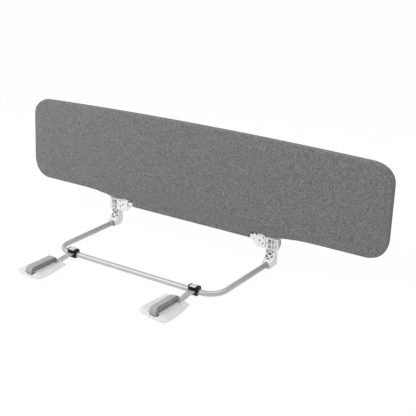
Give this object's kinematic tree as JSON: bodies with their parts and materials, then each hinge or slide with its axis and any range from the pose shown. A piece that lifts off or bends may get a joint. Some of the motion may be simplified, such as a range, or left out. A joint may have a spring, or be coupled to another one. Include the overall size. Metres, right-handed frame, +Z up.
{
  "type": "folding bed guard rail",
  "caption": "Padded fabric bed guard panel on two folding lock hinges, with a bent tube frame that slides under the mattress and two webbing straps with anchor plates.",
  "frame": {"origin": "on the surface the rail stands on, under the middle of its overall box", "axes": "+X along the panel, +Y outward from the bed, +Z up"},
  "size_m": [1.504, 0.585, 0.437],
  "materials": {
    "fabric": "matte melange cloth",
    "foam": "open-cell foam",
    "aluminium": "satin anodised",
    "steel": "zinc plated",
    "white_plastic": "moulded, satin",
    "black_plastic": "moulded, satin",
    "translucent_plastic": "translucent, moulded",
    "webbing": "woven webbing"
  },
  "bodies": {
    "bed_frame": {"frame_tube": "aluminium", "hinge_column_right": "white_plastic", "column_rear_cover_right": "white_plastic", "rear_cover_screw_right_1": "steel", "rear_cover_screw_right_2": "steel", "arm_screw_right": "steel", "hinge_axle_right": "steel", "axle_clip_right": "steel", "lock_spring_right": "steel", "spring_cap_right": "white_plastic", "hinge_column_left": "white_plastic", "column_rear_cover_left": "white_plastic", "rear_cover_screw_left_1": "steel", "rear_cover_screw_left_2": "steel", "arm_screw_left": "steel", "hinge_axle_left": "steel", "axle_clip_left": "steel", "lock_spring_left": "steel", "spring_cap_left": "white_plastic"},
    "panel": {"fabric_cover": "fabric", "foam_core": "foam", "apron_core": "foam", "panel_upper_tube": "steel", "panel_lower_tube": "steel", "lug_housing_right": "white_plastic", "lug_cover_right": "white_plastic", "lug_screw_right_a": "steel", "lug_screw_right_b": "steel", "lug_screw_right_c": "steel", "tube_screw_right_1": "steel", "tube_screw_right_2": "steel", "tube_joiner_right": "steel", "lug_housing_left": "white_plastic", "lug_cover_left": "white_plastic", "lug_screw_left_a": "steel", "lug_screw_left_b": "steel", "lug_screw_left_c": "steel", "tube_screw_left_1": "steel", "tube_screw_left_2": "steel", "tube_joiner_left": "steel"},
    "lock_bolt_right": {"lock_bolt_right": "steel"},
    "release_button_right": {"release_button_right": "white_plastic", "button_stem_right": "steel"},
    "strap_right": {"strap_clamp_right": "black_plastic", "lever_pin_right": "steel", "webbing_right": "webbing", "anchor_plate_right": "translucent_plastic"},
    "clamp_lever_right": {"clamp_lever_right": "white_plastic"},
    "lock_bolt_left": {"lock_bolt_left": "steel"},
    "release_button_left": {"release_button_left": "white_plastic", "button_stem_left": "steel"},
    "strap_left": {"strap_clamp_left": "black_plastic", "lever_pin_left": "steel", "webbing_left": "webbing", "anchor_plate_left": "translucent_plastic"},
    "clamp_lever_left": {"clamp_lever_left": "white_plastic"}
  },
  "joints": [
    {"name": "panel_fold", "type": "hinge", "parent": "bed_frame", "child": "panel", "pos_m": [0, 0.27096, 0.0925], "axis": [-1, 0, 0], "range_deg": [0, 176]},
    {"name": "release_button_right_push", "type": "slide", "parent": "panel", "child": "release_button_right", "axis": [1, 0, 0], "range_m": [0, 0.007], "stiffness_N_per_m": 400},
    {"name": "lock_bolt_right_slide", "type": "slide", "parent": "bed_frame", "child": "lock_bolt_right", "axis": [1, 0, 0], "range_m": [0, 0.007], "deforming": ["lock_spring_right"]},
    {"name": "strap_right_shift", "type": "slide", "parent": "bed_frame", "child": "strap_right", "axis": [-1, 0, 0], "range_m": [0, 0.15]},
    {"name": "clamp_lever_right_lift", "type": "hinge", "parent": "strap_right", "child": "clamp_lever_right", "pos_m": [0.2565, -0.06294, 0.0285], "axis": [-1, 0, 0], "range_deg": [0, 95]},
    {"name": "release_button_left_push", "type": "slide", "parent": "panel", "child": "release_button_left", "axis": [-1, 0, 0], "range_m": [0, 0.007], "stiffness_N_per_m": 400},
    {"name": "lock_bolt_left_slide", "type": "slide", "parent": "bed_frame", "child": "lock_bolt_left", "axis": [-1, 0, 0], "range_m": [0, 0.007], "deforming": ["lock_spring_left"]},
    {"name": "strap_left_shift", "type": "slide", "parent": "bed_frame", "child": "strap_left", "axis": [1, 0, 0], "range_m": [0, 0.15]},
    {"name": "clamp_lever_left_lift", "type": "hinge", "parent": "strap_left", "child": "clamp_lever_left", "pos_m": [-0.2565, -0.06294, 0.0285], "axis": [-1, 0, 0], "range_deg": [0, 95]}
  ],
  "couplings": [
    {"joint": "lock_bolt_right_slide", "follows": "release_button_right_push", "ratio": 1},
    {"joint": "lock_bolt_left_slide", "follows": "release_button_left_push", "ratio": 1}
  ]
}
